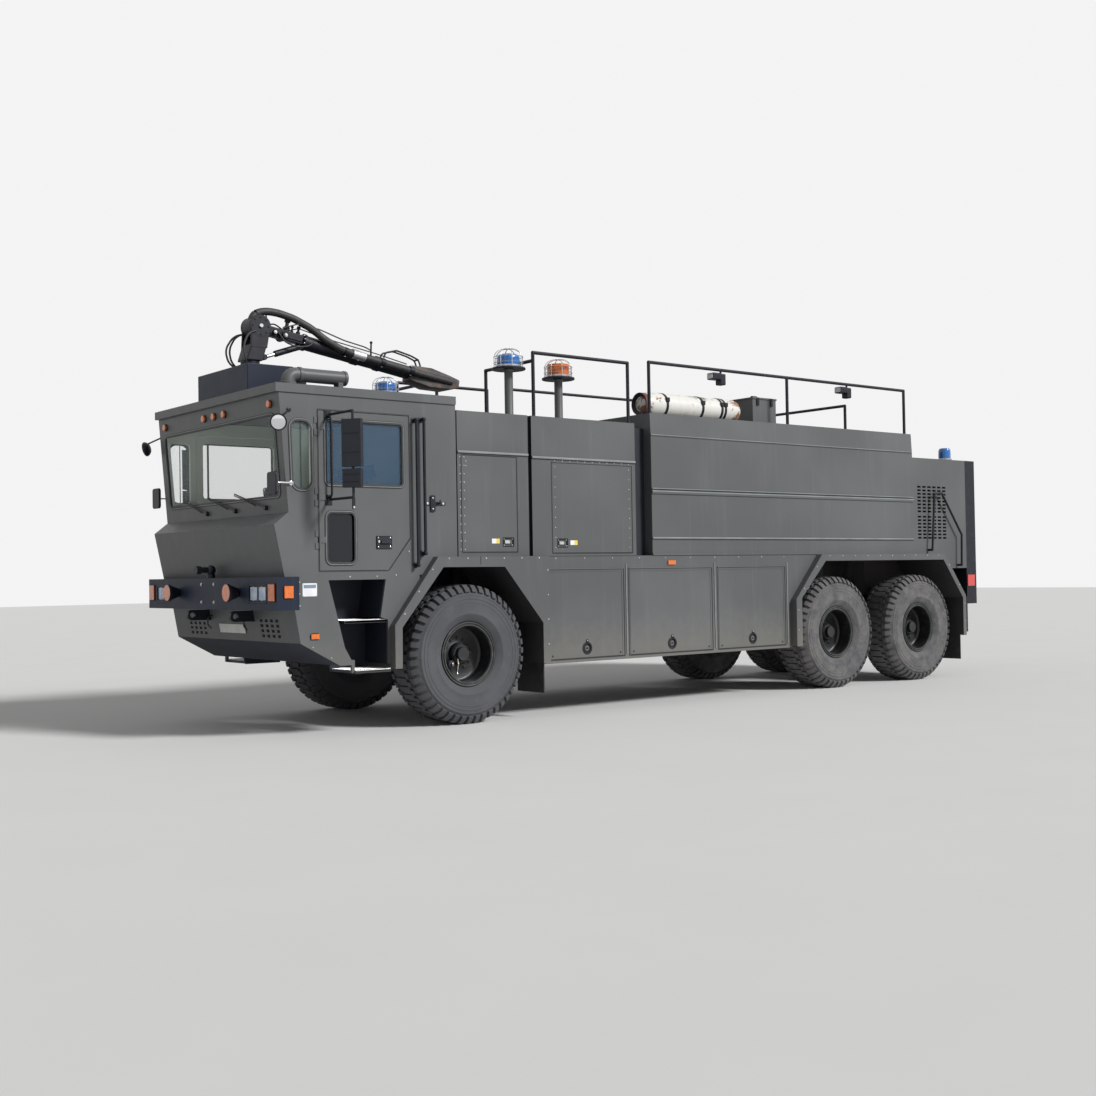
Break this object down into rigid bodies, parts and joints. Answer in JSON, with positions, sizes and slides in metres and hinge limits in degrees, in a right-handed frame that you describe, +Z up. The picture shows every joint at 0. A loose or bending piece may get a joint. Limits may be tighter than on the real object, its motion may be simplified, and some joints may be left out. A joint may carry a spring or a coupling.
{
  "type": "airport fire truck",
  "caption": "Airport fire truck with three driven axles, forward cab, roof monitor stowed rearwards, water tank, side lockers and rear engine box.",
  "frame": {"origin": "on the ground at the middle of the truck's length and width", "axes": "+X forward, +Y to the truck's left, +Z up"},
  "size_m": [11.64, 4.0154, 4.3568],
  "materials": {
    "olive_paint": "dull olive drab paint, dusty",
    "black_paint": "satin black paint",
    "rim_paint": "dark wheel paint, worn",
    "tyre": "dusty rubber",
    "rubber": "black rubber sheet",
    "window_glass": "faintly green safety glass",
    "lens_clear": "ribbed headlamp glass",
    "lens_amber": "amber lens plastic",
    "lens_blue": "blue lens plastic",
    "lens_red": "red lens plastic",
    "dash_plastic": "moulded black plastic",
    "seat_fabric": "dark woven seat cloth",
    "engine_iron": "cast iron, plain block",
    "bottle_paint": "chipped white paint with rust"
  },
  "bodies": {
    "root": {"chassis_frame": "black_paint", "axles": "black_paint", "bumper": "black_paint", "lamp_housings": "black_paint", "lenses_clear": "lens_clear", "lenses_amber": "lens_amber", "lenses_blue": "lens_blue", "lenses_red": "lens_red", "cab_base": "olive_paint", "cab_shell": "olive_paint", "cab_glass": "window_glass", "dashboard": "dash_plastic", "seats": "seat_fabric", "flares": "olive_paint", "mudflaps": "rubber", "lower_body": "olive_paint", "upper_body": "olive_paint", "tank": "olive_paint", "engine_box": "olive_paint", "engine_block": "engine_iron", "rear_cowl": "black_paint", "handrails": "black_paint", "gas_bottle": "bottle_paint", "monitor_housing": "black_paint", "wipers": "black_paint", "corner_mirrors": "black_paint"},
    "knuckle_left": {"knuckle_left": "black_paint"},
    "knuckle_right": {"knuckle_right": "black_paint"},
    "tie_rod": {"tie_rod": "black_paint"},
    "wheel_front_left": {"tyre_front_left": "tyre", "rim_front_left": "rim_paint"},
    "wheel_front_right": {"tyre_front_right": "tyre", "rim_front_right": "rim_paint"},
    "wheel_middle_left": {"tyre_middle_left": "tyre", "rim_middle_left": "rim_paint"},
    "wheel_middle_right": {"tyre_middle_right": "tyre", "rim_middle_right": "rim_paint"},
    "wheel_rear_left": {"tyre_rear_left": "tyre", "rim_rear_left": "rim_paint"},
    "wheel_rear_right": {"tyre_rear_right": "tyre", "rim_rear_right": "rim_paint"},
    "cab_door_left": {"door_left": "olive_paint", "door_glass_left": "window_glass"},
    "cab_door_right": {"door_right": "olive_paint", "door_glass_right": "window_glass"},
    "lower_door_left_1": {"lower_door_left_1": "olive_paint"},
    "lower_door_left_2": {"lower_door_left_2": "olive_paint"},
    "lower_door_left_3": {"lower_door_left_3": "olive_paint"},
    "upper_door_left_1": {"upper_door_left_1": "olive_paint"},
    "upper_door_left_2": {"upper_door_left_2": "olive_paint"},
    "lower_door_right_1": {"lower_door_right_1": "olive_paint"},
    "lower_door_right_2": {"lower_door_right_2": "olive_paint"},
    "lower_door_right_3": {"lower_door_right_3": "olive_paint"},
    "upper_door_right_1": {"upper_door_right_1": "olive_paint"},
    "upper_door_right_2": {"upper_door_right_2": "olive_paint"},
    "monitor_riser": {"monitor_riser": "black_paint"},
    "monitor_boom": {"monitor_boom": "black_paint"},
    "bumper_monitor": {"bumper_monitor": "black_paint"}
  },
  "joints": [
    {"name": "steer_left", "type": "hinge", "parent": "root", "child": "knuckle_left", "pos_m": [3.35, 1, 0.745], "axis": [0, 0, 1], "range_deg": [-30, 30]},
    {"name": "steer_right", "type": "hinge", "parent": "root", "child": "knuckle_right", "pos_m": [3.35, -1, 0.745], "axis": [0, 0, 1], "range_deg": [-30, 30]},
    {"name": "tie_rod_pivot", "type": "hinge", "parent": "knuckle_left", "child": "tie_rod", "pos_m": [3.05, 0.86, 0.657], "axis": [0, 0, 1], "range_deg": [-35, 35]},
    {"name": "spin_front_left", "type": "hinge", "parent": "knuckle_left", "child": "wheel_front_left", "pos_m": [3.35, 1.175, 0.745], "axis": [0, 1, 0], "continuous": true},
    {"name": "spin_front_right", "type": "hinge", "parent": "knuckle_right", "child": "wheel_front_right", "pos_m": [3.35, -1.175, 0.745], "axis": [0, 1, 0], "continuous": true},
    {"name": "spin_middle_left", "type": "hinge", "parent": "root", "child": "wheel_middle_left", "pos_m": [-2.68, 1.175, 0.745], "axis": [0, 1, 0], "continuous": true},
    {"name": "spin_middle_right", "type": "hinge", "parent": "root", "child": "wheel_middle_right", "pos_m": [-2.68, -1.175, 0.745], "axis": [0, 1, 0], "continuous": true},
    {"name": "spin_rear_left", "type": "hinge", "parent": "root", "child": "wheel_rear_left", "pos_m": [-4.46, 1.175, 0.745], "axis": [0, 1, 0], "continuous": true},
    {"name": "spin_rear_right", "type": "hinge", "parent": "root", "child": "wheel_rear_right", "pos_m": [-4.46, -1.175, 0.745], "axis": [0, 1, 0], "continuous": true},
    {"name": "cab_door_left_hinge", "type": "hinge", "parent": "root", "child": "cab_door_left", "pos_m": [5.162, 1.45, 2.4], "axis": [0, 0, -1], "range_deg": [0, 70]},
    {"name": "cab_door_right_hinge", "type": "hinge", "parent": "root", "child": "cab_door_right", "pos_m": [5.162, -1.45, 2.4], "axis": [0, 0, 1], "range_deg": [0, 70]},
    {"name": "lower_door_left_1_hinge", "type": "hinge", "parent": "root", "child": "lower_door_left_1", "pos_m": [1.74, 1.441, 1.637], "axis": [1, 0, 0], "range_deg": [0, 90]},
    {"name": "lower_door_left_2_hinge", "type": "hinge", "parent": "root", "child": "lower_door_left_2", "pos_m": [0.4075, 1.441, 1.637], "axis": [1, 0, 0], "range_deg": [0, 90]},
    {"name": "lower_door_left_3_hinge", "type": "hinge", "parent": "root", "child": "lower_door_left_3", "pos_m": [-0.9925, 1.441, 1.637], "axis": [1, 0, 0], "range_deg": [0, 90]},
    {"name": "upper_door_left_1_hinge", "type": "hinge", "parent": "root", "child": "upper_door_left_1", "pos_m": [3.447, 1.441, 2.35], "axis": [0, 0, -1], "range_deg": [0, 110]},
    {"name": "upper_door_left_2_hinge", "type": "hinge", "parent": "root", "child": "upper_door_left_2", "pos_m": [1.62, 1.441, 2.837], "axis": [1, 0, 0], "range_deg": [0, 90]},
    {"name": "lower_door_right_1_hinge", "type": "hinge", "parent": "root", "child": "lower_door_right_1", "pos_m": [1.74, -1.441, 1.637], "axis": [-1, 0, 0], "range_deg": [0, 90]},
    {"name": "lower_door_right_2_hinge", "type": "hinge", "parent": "root", "child": "lower_door_right_2", "pos_m": [0.4075, -1.441, 1.637], "axis": [-1, 0, 0], "range_deg": [0, 90]},
    {"name": "lower_door_right_3_hinge", "type": "hinge", "parent": "root", "child": "lower_door_right_3", "pos_m": [-0.9925, -1.441, 1.637], "axis": [-1, 0, 0], "range_deg": [0, 90]},
    {"name": "upper_door_right_1_hinge", "type": "hinge", "parent": "root", "child": "upper_door_right_1", "pos_m": [3.447, -1.441, 2.35], "axis": [0, 0, 1], "range_deg": [0, 110]},
    {"name": "upper_door_right_2_hinge", "type": "hinge", "parent": "root", "child": "upper_door_right_2", "pos_m": [1.62, -1.441, 2.837], "axis": [-1, 0, 0], "range_deg": [0, 90]},
    {"name": "monitor_yaw", "type": "hinge", "parent": "root", "child": "monitor_riser", "pos_m": [5.26, 0.19, 3.76], "axis": [0, 0, 1], "range_deg": [-180, 180]},
    {"name": "monitor_pitch", "type": "hinge", "parent": "monitor_riser", "child": "monitor_boom", "pos_m": [5.19, 0.19, 4.24], "axis": [0, 1, 0], "range_deg": [0, 100]},
    {"name": "bumper_monitor_yaw", "type": "hinge", "parent": "root", "child": "bumper_monitor", "pos_m": [5.64, 0, 1.6], "axis": [0, 0, 1], "range_deg": [-60, 60]}
  ],
  "couplings": [
    {"joint": "steer_right", "follows": "steer_left", "ratio": 1},
    {"joint": "tie_rod_pivot", "follows": "steer_left", "ratio": -1.152}
  ]
}
